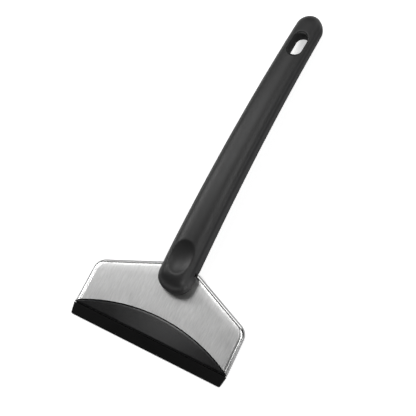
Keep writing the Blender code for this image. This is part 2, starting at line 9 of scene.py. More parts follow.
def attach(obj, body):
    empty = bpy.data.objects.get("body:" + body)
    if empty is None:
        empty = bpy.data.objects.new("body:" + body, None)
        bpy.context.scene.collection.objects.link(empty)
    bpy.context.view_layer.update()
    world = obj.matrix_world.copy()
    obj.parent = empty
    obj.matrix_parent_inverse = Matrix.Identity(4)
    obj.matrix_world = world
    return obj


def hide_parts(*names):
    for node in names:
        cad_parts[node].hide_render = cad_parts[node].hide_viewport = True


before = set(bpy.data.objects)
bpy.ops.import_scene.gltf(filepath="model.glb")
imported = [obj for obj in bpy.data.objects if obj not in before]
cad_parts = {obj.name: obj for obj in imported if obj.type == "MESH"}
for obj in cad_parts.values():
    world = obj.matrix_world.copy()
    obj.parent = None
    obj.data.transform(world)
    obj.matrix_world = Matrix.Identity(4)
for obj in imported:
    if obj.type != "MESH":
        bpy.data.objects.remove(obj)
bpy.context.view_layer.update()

# The ice scraper's looks: brushed steel face, charcoal handle, black blade body and edge.
#
# Shapes are drawn in the head's own frame, in metres. X runs across the head, Y from the
# scraping edge to the handle's end, and Z out of the steel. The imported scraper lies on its
# back, so each finished mesh is turned by TO_ROW into its place.

MM = 0.001
HEAD_TILT = math.radians(3.1192695)
HEAD_PLACE = Vector((0.0, -121.3452 * MM, 3.395 * MM))
TO_ROW = Matrix.Translation(HEAD_PLACE) @ Matrix.Rotation(HEAD_TILT, 4, "X")

# Sizes that the dressed pieces share with the solids
GAP = 0.3 * MM
HEAD_WIDTH = 112.8 * MM
SHOULDER_WIDTH = 111.2 * MM
SIDE_FOOT = 9.1 * MM
SHOULDER_HEIGHT = 38.9 * MM
SHOULDER_RADIUS = 9.0 * MM
HEAD_TOP = 58.0 * MM
TOP_WIDTH = 20.77 * MM
TOP_RADIUS = 2.5 * MM
ARC_CROWN = 22.95 * MM
SMALL_CORNER = 0.4 * MM

SHEET = 0.8 * MM
RIM_DEPTH = 3.2 * MM
BEND_WIDTH = 3.2 * MM
BEND_DEPTH = 2.8 * MM
RIM_FALL = 0.12 * MM
CREASE_START = 3.2 * MM
CREASE_WIDTH = 0.5 * MM
LIP_CHAMFER = 0.15 * MM
ARC_CHAMFER = 0.12 * MM

BODY_BACK = 3.7 * MM
BODY_FOOT = 8.0 * MM
PANEL_SET_BACK = 0.6 * MM
PANEL_SLOPE = 0.09
CREST_CHAMFER = 0.5 * MM
POCKET_DEPTH = 1.3 * MM
POCKET_MARGIN = 3.4 * MM
POCKET_FOOT = 12.0 * MM
RIB_THICKNESS = 1.6 * MM
RIB_PITCH = 13.0 * MM
RIBS_EACH_SIDE = 3
CROSS_RIB_HEIGHT = 28.0 * MM
SCREW_PAD_WIDTH = 24.0 * MM
SCREW_PAD_MARGIN = 7.5 * MM
BOSS_DIAMETER = 9.6 * MM
BOSS_HEIGHT = 1.2 * MM

EDGE_BOTTOM_WIDTH = 110.4 * MM
EDGE_FRONT_LEVEL = 2.0 * MM
EDGE_LAND = 1.4 * MM
EDGE_CORNER_RADIUS = 1.2 * MM
EDGE_SET_BACK = 0.1 * MM
ROOT_THICKNESS = 0.9 * MM
ROOT_LENGTH = 2.0 * MM
ROOT_LEVEL = 2.5 * MM

SPINE_RADIUS = 605.0 * MM
SPINE_CROWN_Y = 90.0 * MM
SPINE_CROWN_Z = 8.2 * MM
HANDLE_NOSE = 39.1 * MM
HANDLE_END = 242.0 * MM
GRIP_WIDTH_LOW = 21.8 * MM
GRIP_WIDTH_END = 17.6 * MM
GRIP_DEPTH_LOW = 19.0 * MM
GRIP_DEPTH_END = 13.2 * MM
GRIP_TAPER_EASE = 1.05
FRONT_RADIUS_LOW = 7.0 * MM
FRONT_RADIUS_END = 5.4 * MM
CROWN_POWER = 2.3
CROWN_LAST_TURN = math.radians(89.0)
BACK_RADIUS_LOW = 3.0 * MM
BACK_RADIUS_END = 5.0 * MM
NOSE_LENGTH = 12.9 * MM
NOSE_FALL_POWER = 2.4
NOSE_PLAN_POWER = 2.2
END_PLAN_POWER = 2.0
END_DEPTH_POWER = 3.0
RELIEF_TOP = 57.2 * MM
RELIEF_LENGTH = 2.4 * MM
RELIEF_CUT = 2.1 * MM
RELIEF_LEVEL = 7.5 * MM
SHOULDER_Y = 58.8 * MM
POCKET_OVERLAP = 0.02 * MM

DISH_Y = 61.4 * MM
DISH_HALF_WIDTH = 11.5 * MM
DISH_HALF_LENGTH = 13.8 * MM
DISH_HALF_DEPTH = 6.0 * MM
DISH_SINK = 2.9 * MM
SOFT_RIM_REACH = 0.9
SOFT_RIM_WIDTH = 0.45
SOFT_RIM_TOP = 0.55

SLOT_Y = 219.4 * MM
SLOT_WIDTH = 9.6 * MM
SLOT_LENGTH = 17.4 * MM
SLOT_TILT = math.radians(7.0)

STEM_WIDTH = 12.0 * MM
STEM_FOOT = 50.0 * MM
STEM_END = 86.0 * MM
STEM_FRONT = 4.0 * MM
STEM_FOOT_BACK = 3.1 * MM
STEM_END_BACK = 1.1 * MM
STEM_CORNER_RADIUS = 4.0 * MM
STEM_FOOT_RADIUS = 0.1 * MM

SHANK_DIAMETER = 3.0 * MM
SCREW_CLEARANCE = 0.3 * MM
SCREW_HEAD_DIAMETER = 5.6 * MM
SCREW_HEAD_HEIGHT = 1.6 * MM
SCREW_LENGTH = 12.0 * MM
SHANK_RAISE = 0.49
RECESS_REACH = 3.3 * MM
RECESS_WIDTH = 0.62 * MM
RECESS_DEPTH = 0.95 * MM
COUNTERBORE_DIAMETER = 6.4 * MM
COUNTERBORE_DEPTH = 1.8 * MM
TONGUE_SCREW_X = 5.2 * MM
TONGUE_SCREW_Y = 47.5 * MM
STEM_SCREW_YS = (66.0 * MM, 79.0 * MM)

# Fineness of the dressed shapes
CORNER_STEPS = 20
ARC_STEPS = 150
BEND_STEPS = 16
CREASE_STEPS = 8
SCREW_SIDES = 48
SCREW_RINGS = 32
DISH_SEGMENTS = 128
GRIP_STATIONS = 130
ROUND_END_STATIONS = 36
STATION_CROWDING = 1.5
LAST_STATION_TURN = math.radians(88.0)
HANDLE_VOXEL = 0.42 * MM
BODY_VOXEL = 0.42 * MM
EDGE_VOXEL = 0.25 * MM

# Softening of edges: how far a point moves in a round, and how many rounds each piece gets
SOFTENING = 0.5
HANDLE_ROUNDS = 4
DISH_RIM_ROUNDS = 30
BODY_ROUNDS = 2
EDGE_ROUNDS = 2

# Edges of metal that are steeper than these stay sharp
STEEL_SHARP_ANGLE = math.radians(25.0)
SCREW_SHARP_ANGLE = math.radians(35.0)

# Room that cutters take past a surface, past the head's sides and past the arc's ends
PAST = 5.0 * MM
REACH_ACROSS = 0.575
ARC_OVERRUN = 1.15

# Shares of a full round that leave a trace of a flat, so that no face shrinks to nothing
FULLEST_ROUND = 0.98
SLOT_ROUND = 0.999

BODY_FRONT = SHEET + RIM_FALL + GAP
BODY_INSET = SHEET + GAP
BODY_CHAMFER = BEND_DEPTH + GAP - BODY_INSET
SIDE_TAPER = (HEAD_WIDTH - SHOULDER_WIDTH) / 2 / (SHOULDER_HEIGHT - SIDE_FOOT)
ARC_RISE = ARC_CROWN - SIDE_FOOT
ARC_RADIUS = ((HEAD_WIDTH / 2) ** 2 + ARC_RISE ** 2) / (2 * ARC_RISE)
ARC_CENTRE_Y = ARC_CROWN - ARC_RADIUS
ARC_HALF_ANGLE = math.asin(HEAD_WIDTH / 2 / ARC_RADIUS) * ARC_OVERRUN


# Making and cutting solids

def loft(loops):
    """A closed solid through loops of equally many points, flat at both ends."""
    builder = bmesh.new()
    rings = [[builder.verts.new(point) for point in loop] for loop in loops]
    for lower, upper in zip(rings, rings[1:]):
        count = len(lower)
        for i in range(count):
            j = (i + 1) % count
            builder.faces.new((lower[i], lower[j], upper[j], upper[i]))
    builder.faces.new(rings[0])
    builder.faces.new(rings[-1])
    bmesh.ops.recalc_face_normals(builder, faces=builder.faces)
    mesh = bpy.data.meshes.new("loft")
    builder.to_mesh(mesh)
    builder.free()
    return mesh


def prism(outline, z_low, z_high):
    """An outline in the XY plane, raised from one level to another."""
    return loft([[(x, y, z) for x, y in outline] for z in (z_low, z_high)])


def box(x_low, x_high, y_low, y_high, z_low, z_high):
    """A plain block between two corners."""
    outline = [(x_low, y_low), (x_high, y_low), (x_high, y_high), (x_low, y_high)]
    return prism(outline, z_low, z_high)


def cylinder(x, y, diameter, z_low, z_high):
    """An upright cylinder."""
    turn = 2 * math.pi / SCREW_SIDES
    outline = [(x + diameter / 2 * math.cos(i * turn), y + diameter / 2 * math.sin(i * turn))
               for i in range(SCREW_SIDES)]
    return prism(outline, z_low, z_high)


def new_object(name, data):
    """An object in the scene round a mesh, a camera or a light."""
    obj = bpy.data.objects.new(name, data)
    bpy.context.scene.collection.objects.link(obj)
    return obj


def baked(obj):
    """The object's mesh with its modifiers applied, while the object itself goes."""
    graph = bpy.context.evaluated_depsgraph_get()
    mesh = bpy.data.meshes.new_from_object(obj.evaluated_get(graph))
    bpy.data.objects.remove(obj)
    return mesh


def carve(mesh, steps):
    """Cut, join or trim a mesh with others, one after the other."""
    obj = new_object("carved", mesh)
    tools = []
    for operation, tool_mesh in steps:
        tool = new_object("tool", tool_mesh)
        tools.append(tool)
        modifier = obj.modifiers.new("step", "BOOLEAN")
        modifier.operation = operation
        modifier.solver = "EXACT"
        modifier.object = tool
    result = baked(obj)
    for tool in tools:
        bpy.data.objects.remove(tool)
    return result


def remesh(mesh, voxel):
    """An even net of small faces over the same solid."""
    obj = new_object("remeshed", mesh)
    modifier = obj.modifiers.new("net", "REMESH")
    modifier.mode = "VOXEL"
    modifier.voxel_size = voxel
    return baked(obj)


def soften(mesh, rounds, share=None):
    """Round the edges of an even net: each point moves towards the middle of its neighbours."""
    count = len(mesh.vertices)
    places = np.empty(count * 3)
    mesh.vertices.foreach_get("co", places)
    places = places.reshape(-1, 3)
    pairs = np.empty(len(mesh.edges) * 2, dtype=np.int64)
    mesh.edges.foreach_get("vertices", pairs)
    one, other = pairs.reshape(-1, 2).T
    links = np.bincount(np.concatenate((one, other)), minlength=count)
    weight = np.full(count, SOFTENING) if share is None else SOFTENING * share(places)
    for _ in range(rounds):
        sums = [np.bincount(one, places[other, axis], count)
                + np.bincount(other, places[one, axis], count) for axis in range(3)]
        places += weight[:, None] * (np.stack(sums, axis=1) / links[:, None] - places)
    mesh.vertices.foreach_set("co", places.ravel())
    mesh.update()
    return mesh


def finish_piece(name, mesh, material, node):
    """Turn a finished mesh into its place and hand it to the frame."""
    mesh.transform(TO_ROW)
    mesh.materials.clear()
    mesh.materials.append(material)
    mesh.polygons.foreach_set("material_index", [0] * len(mesh.polygons))
    mesh.shade_smooth()
    mesh.name = name
    piece = new_object(name, mesh)
    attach(piece, "root")
    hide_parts(node)


# Outlines that several pieces share

def round_corners(corners):
    """Outline of a convex polygon whose corners (x, y, radius) are rounded."""
    points = []
    count = len(corners)
    for place, (x, y, radius) in enumerate(corners):
        corner = Vector((x, y))
        to_last = (Vector(corners[place - 1][:2]) - corner).normalized()
        to_next = (Vector(corners[(place + 1) % count][:2]) - corner).normalized()
        half = to_last.angle(to_next) / 2
        centre = corner + (to_last + to_next).normalized() * (radius / math.sin(half))
        start = corner + to_last * (radius / math.tan(half)) - centre
        sweep = math.pi - 2 * half
        for i in range(CORNER_STEPS + 1):
            points.append(tuple(centre + Matrix.Rotation(sweep * i / CORNER_STEPS, 2) @ start))
    return points


def inset_polygon(corners, inset):
    """Corners of a counter-clockwise polygon with every side moved inwards."""
    moved = []
    count = len(corners)
    for i in range(count):
        last, here, after = (Vector(corners[(i + k) % count]) for k in (-1, 0, 1))
        along_in = (here - last).normalized()
        along_out = (after - here).normalized()
        normal_in = Vector((-along_in.y, along_in.x))
        normal_out = Vector((-along_out.y, along_out.x))
        moved.append(here + (normal_in + normal_out) * (inset / (1 + normal_in.dot(normal_out))))
    return moved


def half_width_at(y):
    """Half the head's width on its straight sides."""
    return HEAD_WIDTH / 2 + (SIDE_FOOT - y) * SIDE_TAPER


def head_outline(inset, foot):
    """The head seen from the front, moved inwards, and cut off at a lower level."""
    low_y = foot - inset
    right = [(half_width_at(low_y), low_y), (SHOULDER_WIDTH / 2, SHOULDER_HEIGHT),
             (TOP_WIDTH / 2, HEAD_TOP)]
    corners = right + [(-x, y) for x, y in reversed(right)]
    radii = [max(radius - inset, SMALL_CORNER) for radius in (SHOULDER_RADIUS, TOP_RADIUS)]
    radii = [SMALL_CORNER] + radii + radii[::-1] + [SMALL_CORNER]
    moved = inset_polygon(corners, inset)
    return round_corners([(p.x, p.y, r) for p, r in zip(moved, radii)])


def arc_points(radius):
    """Points along the arc of the steel's lower edge, from right to left."""
    points = []
    for i in range(ARC_STEPS + 1):
        angle = ARC_HALF_ANGLE * (1 - 2 * i / ARC_STEPS)
        points.append((radius * math.sin(angle), ARC_CENTRE_Y + radius * math.cos(angle)))
    return points


def panel_level(x, y):
    """Height of the half-moon, a cone about the arc's centre."""
    return -PANEL_SET_BACK + PANEL_SLOPE * (ARC_RADIUS - GAP - math.hypot(x, y - ARC_CENTRE_Y))


def places_across():
    """Places across the head, from right to left, that run past its sides."""
    return [HEAD_WIDTH * REACH_ACROSS * (1 - 2 * i / ARC_STEPS) for i in range(ARC_STEPS + 1)]


def stem_plan(margin, foot):
    """The stem seen from the front, with room round it if asked."""
    half = STEM_WIDTH / 2 + margin
    end = STEM_END + margin
    radius = STEM_CORNER_RADIUS + margin
    return round_corners([(half, foot, STEM_FOOT_RADIUS), (half, end, radius),
                          (-half, end, radius), (-half, foot, STEM_FOOT_RADIUS)])


def stem_back(y):
    """Level of the stem's back, which rises towards its end."""
    share = max(y - HEAD_TOP, 0.0) / (STEM_END - HEAD_TOP)
    return -STEM_FOOT_BACK + (STEM_FOOT_BACK - STEM_END_BACK) * share


def screw_places():
    """Name, x, y and level of the seat of each screw; all enter from the back."""
    boss_seat = -(BODY_BACK + BOSS_HEIGHT) + COUNTERBORE_DEPTH
    low, high = STEM_SCREW_YS
    return [("tongue_screw_left", -TONGUE_SCREW_X, TONGUE_SCREW_Y, boss_seat),
            ("tongue_screw_right", TONGUE_SCREW_X, TONGUE_SCREW_Y, boss_seat),
            ("stem_screw_lower", 0.0, low, stem_back(low) + COUNTERBORE_DEPTH),
            ("stem_screw_upper", 0.0, high, stem_back(high) + COUNTERBORE_DEPTH)]


def screw_holes(counterbored):
    """Cuts for the screws, with seats for their heads where asked."""
    cuts = []
    hole_diameter = SHANK_DIAMETER + 2 * SCREW_CLEARANCE
    for _, x, y, seat in screw_places():
        low, high = seat - PAST, seat + SCREW_LENGTH + GAP
        cuts.append(("DIFFERENCE", cylinder(x, y, hole_diameter, low, high)))
        if counterbored:
            cuts.append(("DIFFERENCE", cylinder(x, y, COUNTERBORE_DIAMETER, low, seat)))
    return cuts


# Handle

def taper(low, end, y):
    """A size of the grip, eased from the head to the hanging end."""
    share = min(max((y - HEAD_TOP) / (HANDLE_END - HEAD_TOP), 0.0), 1.0)
    return low + (end - low) * share ** GRIP_TAPER_EASE


def rounded(share, power):
    """What is left of a size on its way round a curved end, where share runs to 1."""
    return (1 - share ** power) ** (1 / power)


def spine(y):
    """Centre of the grip and its front direction, on one long arc."""
    lean = math.asin((y - SPINE_CROWN_Y) / SPINE_RADIUS)
    centre = Vector((0, y, SPINE_CROWN_Z - SPINE_RADIUS * (1 - math.cos(lean))))
    return centre, Vector((0, math.sin(lean), math.cos(lean)))


def grip_section(y):
    """Half-width, height in front of and behind the spine, and the corner radii."""
    half_width = taper(GRIP_WIDTH_LOW, GRIP_WIDTH_END, y) / 2
    front = back = taper(GRIP_DEPTH_LOW, GRIP_DEPTH_END, y) / 2
    front_radius = taper(FRONT_RADIUS_LOW, FRONT_RADIUS_END, y)
    back_radius = taper(BACK_RADIUS_LOW, BACK_RADIUS_END, y)
    nose_centre = HANDLE_NOSE + GRIP_WIDTH_LOW / 2
    end_centre = HANDLE_END - GRIP_WIDTH_END / 2
    if y < nose_centre:
        half_width *= rounded((nose_centre - y) / (nose_centre - HANDLE_NOSE), NOSE_PLAN_POWER)
    if y < HANDLE_NOSE + NOSE_LENGTH:
        level = spine(y)[0].z
        share = 1 - (y - HANDLE_NOSE) / NOSE_LENGTH
        front = (level + front) * rounded(share, NOSE_FALL_POWER) - level
    if y > end_centre:
        share = (y - end_centre) / (HANDLE_END - end_centre)
        half_width *= rounded(share, END_PLAN_POWER)
        front *= rounded(share, END_DEPTH_POWER)
        back *= rounded(share, END_DEPTH_POWER)
    return half_width, front, back, front_radius, back_radius


def grip_loop(y):
    """One rounded cross-section of the handle, square to its spine."""
    half_width, front, back, front_radius, back_radius = grip_section(y)
    centre, forward = spine(y)
    largest = min(half_width, (front + back) / 2) * FULLEST_ROUND
    front_radius = min(front_radius, largest)
    back_radius = min(back_radius, largest)
    low = front - front_radius
    plain = round_corners([(half_width, -back, back_radius), (half_width, low, 0.0),
                           (-half_width, low, 0.0), (-half_width, -back, back_radius)])
    side = CORNER_STEPS + 1
    crown = []
    for i in range(side):
        turn = CROWN_LAST_TURN * i / CORNER_STEPS
        crown.append((half_width * math.cos(turn) ** (2 / CROWN_POWER),
                      low + front_radius * math.sin(turn) ** (2 / CROWN_POWER)))
    outline = plain[:side] + crown + [(-x, height) for x, height in reversed(crown)] + plain[-side:]
    return [centre + Vector((x, 0, 0)) + forward * height for x, height in outline]


def grip_stations():
    """Places along Y for the handle's sections, close together at the round ends."""
    nose_centre = HANDLE_NOSE + GRIP_WIDTH_LOW / 2
    end_centre = HANDLE_END - GRIP_WIDTH_END / 2
    turns = [LAST_STATION_TURN * (1 - (1 - i / ROUND_END_STATIONS) ** STATION_CROWDING)
             for i in range(ROUND_END_STATIONS + 1)]
    nose = [nose_centre - (nose_centre - HANDLE_NOSE) * math.sin(turn) for turn in reversed(turns)]
    end = [end_centre + (HANDLE_END - end_centre) * math.sin(turn) for turn in turns]
    straight = [nose[-1] + (end[0] - nose[-1]) * i / GRIP_STATIONS for i in range(1, GRIP_STATIONS)]
    return nose + straight + end


def dish_tool():
    """The thumb dish as a flattened ball that dips into the front of the grip."""
    builder = bmesh.new()
    bmesh.ops.create_uvsphere(builder, u_segments=DISH_SEGMENTS, v_segments=DISH_SEGMENTS // 2,
                              radius=1.0)
    centre, forward = spine(DISH_Y)
    rim = centre.z + forward.z * grip_section(DISH_Y)[1]
    scale = Matrix.Diagonal((DISH_HALF_WIDTH, DISH_HALF_LENGTH, DISH_HALF_DEPTH, 1.0))
    place = Matrix.Translation((0, DISH_Y, rim + DISH_HALF_DEPTH - DISH_SINK))
    bmesh.ops.transform(builder, matrix=place @ scale, verts=builder.verts)
    mesh = bpy.data.meshes.new("dish")
    builder.to_mesh(mesh)
    builder.free()
    return mesh


def slot_tool():
    """The hanging slot, a stadium drawn through the handle."""
    half_width = SLOT_WIDTH / 2
    half_length = SLOT_LENGTH / 2
    radius = half_width * SLOT_ROUND
    corners = [(half_width, -half_length), (half_width, half_length),
               (-half_width, half_length), (-half_width, -half_length)]
    outline = round_corners([(x, y, radius) for x, y in corners])
    mesh = prism(outline, -GRIP_DEPTH_LOW, GRIP_DEPTH_LOW)
    mesh.transform(Matrix.Translation(spine(SLOT_Y)[0]) @ Matrix.Rotation(-SLOT_TILT, 4, "X"))
    return mesh


def dish_rim_share(places):
    """Where the dish runs out softly into the grip: its sides and its lower rim."""
    across = places[:, 0] / DISH_HALF_WIDTH
    along = (places[:, 1] - DISH_Y) / DISH_HALF_LENGTH
    reach = np.hypot(across, along)
    near = np.clip(1 - np.abs(reach - SOFT_RIM_REACH) / SOFT_RIM_WIDTH, 0, 1)
    lower = np.clip(SOFT_RIM_TOP - along, 0, 1)
    front = places[:, 2] > SPINE_CROWN_Z
    return near * lower * front


def make_handle(material):
    """Moulded handle: tongue over the steel, thumb dish, curved grip and hanging slot."""
    reach = GRIP_WIDTH_LOW
    steps = [("DIFFERENCE", box(-reach, reach, 0.0, SHOULDER_Y, -4 * PAST, GAP))]
    for side in (-1, 1):
        low, high = sorted((side * (GRIP_WIDTH_LOW / 2 - RELIEF_CUT), side * reach))
        steps.append(("DIFFERENCE", box(low, high, RELIEF_TOP - RELIEF_LENGTH, RELIEF_TOP,
                                        -PAST, RELIEF_LEVEL)))
    pocket = prism(stem_plan(GAP, SHOULDER_Y - POCKET_OVERLAP), -4 * PAST, STEM_FRONT + GAP)
    steps += [("DIFFERENCE", pocket), ("DIFFERENCE", dish_tool()), ("DIFFERENCE", slot_tool())]
    steps += screw_holes(counterbored=False)
    mesh = carve(loft([grip_loop(y) for y in grip_stations()]), steps)
    mesh = soften(remesh(mesh, HANDLE_VOXEL), HANDLE_ROUNDS)
    mesh = soften(mesh, DISH_RIM_ROUNDS, share=dish_rim_share)
    finish_piece("moulded_handle", mesh, material, "handle")


# Steel face

def make_steel_face(material):
    """Pressed sheet with a turned rim, its lower edge cut to an arc with a broken corner."""
    bend = -BEND_DEPTH - RIM_FALL
    outer = [(CREASE_START + CREASE_WIDTH, 0.0)]
    inner = [(CREASE_START + CREASE_WIDTH, -SHEET)]
    for i in range(1, CREASE_STEPS):
        share = i / CREASE_STEPS
        fall = RIM_FALL * (share * share * (3 - 2 * share))
        outer.append((CREASE_START + CREASE_WIDTH * (1 - share), -fall))
    for i in range(BEND_STEPS + 1):
        turn = math.pi / 2 * (1 - i / BEND_STEPS)
        for wall, thickness in ((outer, 0.0), (inner, SHEET)):
            wall.append((BEND_WIDTH - (BEND_WIDTH - thickness) * math.cos(turn),
                         bend + (BEND_DEPTH - thickness) * math.sin(turn)))
    outer += [(0.0, -RIM_DEPTH + LIP_CHAMFER), (LIP_CHAMFER / 2, -RIM_DEPTH)]
    inner += [(SHEET, -RIM_DEPTH + LIP_CHAMFER), (SHEET - LIP_CHAMFER / 2, -RIM_DEPTH)]
    foot = -PAST
    loops = [[(x, y, z) for x, y in head_outline(inset, foot)] for inset, z in outer + inner[::-1]]
    below = [(-HEAD_WIDTH, foot - PAST), (HEAD_WIDTH, foot - PAST)]
    wide_radius = ARC_RADIUS + 2 * ARC_CHAMFER
    arc_tool = loft([[(x, y, z) for x, y in arc_points(radius) + below]
                     for radius, z in ((ARC_RADIUS, -RIM_DEPTH - PAST), (ARC_RADIUS, -ARC_CHAMFER),
                                       (wide_radius, ARC_CHAMFER), (wide_radius, PAST))])
    notch_half = STEM_WIDTH / 2 + GAP
    notch = box(-notch_half, notch_half, HEAD_TOP - 2 * BEND_DEPTH, HEAD_TOP + PAST,
                -RIM_DEPTH - PAST, PAST)
    steps = [("DIFFERENCE", arc_tool), ("DIFFERENCE", notch)] + screw_holes(counterbored=False)
    mesh = carve(loft(loops), steps)
    finish_piece("steel_face", mesh, material, "face_plate")
    mesh.set_sharp_from_angle(angle=STEEL_SHARP_ANGLE)


# Blade body

def back_pockets():
    """Cutters for the pockets in the back of the blade body, split by its ribs."""
    floor = -BODY_BACK + POCKET_DEPTH
    low, high = -BODY_BACK - 2 * PAST, floor + PAST
    outline = head_outline(BODY_INSET + POCKET_MARGIN, POCKET_FOOT + BODY_INSET + POCKET_MARGIN)
    half_rib = RIB_THICKNESS / 2
    ribs = []
    for side in (-1, 1):
        for i in range(RIBS_EACH_SIDE):
            x = side * RIB_PITCH * (i + 1)
            ribs.append(box(x - half_rib, x + half_rib, 0, HEAD_TOP, low, high))
    y = CROSS_RIB_HEIGHT
    ribs.append(box(-HEAD_WIDTH, HEAD_WIDTH, y - half_rib, y + half_rib, low, high))
    half_pad = SCREW_PAD_WIDTH / 2
    pad_foot = TONGUE_SCREW_Y - SCREW_PAD_MARGIN
    ribs.append(box(-half_pad, half_pad, pad_foot, HEAD_TOP + PAST, low, high))
    return carve(prism(outline, -BODY_BACK - PAST, floor), [("DIFFERENCE", rib) for rib in ribs])


def half_moon():
    """The raised lower part of the blade body, a slice of a cone under the arc."""
    inner_radius = BODY_FOOT - ARC_CENTRE_Y - PAST
    low = -BODY_BACK - PAST
    loops = []
    for inner, outer in zip(arc_points(inner_radius), arc_points(ARC_RADIUS - GAP)):
        loops.append([(*inner, low), (*outer, low), (*outer, panel_level(*outer)),
                      (*inner, panel_level(*inner))])
    top = ARC_CROWN + PAST
    trim = [(half_width_at(BODY_FOOT), BODY_FOOT), (half_width_at(top), top)]
    trim = trim + [(-x, y) for x, y in reversed(trim)]
    return carve(loft(loops), [("INTERSECT", prism(trim, -BODY_BACK - 2 * PAST, PAST))])


def crest_tool():
    """Cutter for the chamfer along the half-moon's lower edge."""
    loops = []
    for x in places_across():
        level = panel_level(x, BODY_FOOT)
        loops.append([(x, BODY_FOOT - CREST_CHAMFER, level - 2 * CREST_CHAMFER),
                      (x, BODY_FOOT + 2 * CREST_CHAMFER, level + CREST_CHAMFER),
                      (x, BODY_FOOT - CREST_CHAMFER, level + CREST_CHAMFER)])
    return loft(loops)


def stem():
    """The part of the blade body that reaches up into the handle's back."""
    # Its foot lies this deep inside the blade body's plate
    skin = (BODY_BACK - BODY_FRONT) / 4
    end = STEM_END + PAST
    profile = [(STEM_FOOT, -BODY_BACK + skin), (HEAD_TOP, stem_back(HEAD_TOP)),
               (end, stem_back(end)), (end, STEM_FRONT), (SHOULDER_Y + GAP, STEM_FRONT),
               (SHOULDER_Y + GAP, -BODY_FRONT - skin), (STEM_FOOT, -BODY_FRONT - skin)]
    mesh = loft([[(x, y, z) for y, z in profile] for x in (-STEM_WIDTH, STEM_WIDTH)])
    plan = prism(stem_plan(0.0, STEM_FOOT + GAP), -BODY_BACK - PAST, STEM_FRONT + PAST)
    return carve(mesh, [("INTERSECT", plan)])


def make_blade_body(material):
    """Moulded carrier behind the steel, with the half-moon, the ribs and the stem."""
    foot = BODY_FOOT + BODY_INSET
    levels = [(BODY_INSET, -BODY_BACK - PAST / 2), (BODY_INSET, -BODY_FRONT - BODY_CHAMFER),
              (BODY_INSET + BODY_CHAMFER, -BODY_FRONT)]
    mesh = loft([[(x, y, z) for x, y in head_outline(inset, foot)] for inset, z in levels])
    root_reach = half_width_at(BODY_FOOT) - BODY_INSET
    root_half = ROOT_THICKNESS / 2
    behind = box(-HEAD_WIDTH, HEAD_WIDTH, 0.0, STEM_END, -BODY_BACK - 4 * PAST, -BODY_BACK)
    root = box(-root_reach, root_reach, BODY_FOOT - ROOT_LENGTH, BODY_FOOT + ROOT_LENGTH,
               -ROOT_LEVEL - root_half, -ROOT_LEVEL + root_half)
    steps = [("UNION", half_moon()), ("DIFFERENCE", behind), ("DIFFERENCE", back_pockets()),
             ("UNION", stem()), ("UNION", root)]
    for x in (-TONGUE_SCREW_X, TONGUE_SCREW_X):
        boss = cylinder(x, TONGUE_SCREW_Y, BOSS_DIAMETER,
                        -BODY_BACK - BOSS_HEIGHT, -BODY_FRONT - GAP)
        steps.append(("UNION", boss))
    steps.append(("DIFFERENCE", crest_tool()))
    steps += screw_holes(counterbored=True)
    mesh = soften(remesh(carve(mesh, steps), BODY_VOXEL), BODY_ROUNDS)
    finish_piece("moulded_blade_body", mesh, material, "blade_body")


# Scraping edge

def make_scraping_strip(material):
    """Tough wedge-shaped strip slid onto the blade body's root from the side."""
    top = BODY_FOOT - GAP
    back_low = -EDGE_FRONT_LEVEL - EDGE_LAND
    rest_slope = -math.tan(HEAD_TILT)
    loops = []
    for x in places_across():
        front_top = panel_level(x, BODY_FOOT) - CREST_CHAMFER - EDGE_SET_BACK
        loops.append([(x, 0.0, back_low), (x, 0.0, -EDGE_FRONT_LEVEL), (x, top, front_top),
                      (x, top, back_low + rest_slope * top)])
    low_half = EDGE_BOTTOM_WIDTH / 2
    top_half = half_width_at(BODY_FOOT)
    plan = round_corners([(low_half, 0.0, EDGE_CORNER_RADIUS), (top_half, top, SMALL_CORNER),
                          (-top_half, top, SMALL_CORNER), (-low_half, 0.0, EDGE_CORNER_RADIUS)])
    groove_half = ROOT_THICKNESS / 2 + GAP
    groove = box(-HEAD_WIDTH, HEAD_WIDTH, top - ROOT_LENGTH, BODY_FOOT + PAST,
                 -ROOT_LEVEL - groove_half, -ROOT_LEVEL + groove_half)
    mesh = carve(loft(loops), [("INTERSECT", prism(plan, back_low - PAST, PAST)),
                               ("DIFFERENCE", groove)])
    mesh = soften(remesh(mesh, EDGE_VOXEL), EDGE_ROUNDS)
    finish_piece("scraping_strip", mesh, material, "scraping_edge")


# Nodes, for the screws and the finishes

def feed(tree, socket, value):
    """Give a socket a value, or link another node's output to it."""
    if isinstance(value, bpy.types.NodeSocket):
        tree.links.new(value, socket)
    else:
        socket.default_value = value


def maths(tree, operation, *values):
    """A maths node; each value is a number or another node's output."""
    node = tree.nodes.new("ShaderNodeMath")
    node.operation = operation
    for socket, value in zip(node.inputs, values):
        feed(tree, socket, value)
    return node.outputs[0]


# Screws, made by one Geometry Nodes tree

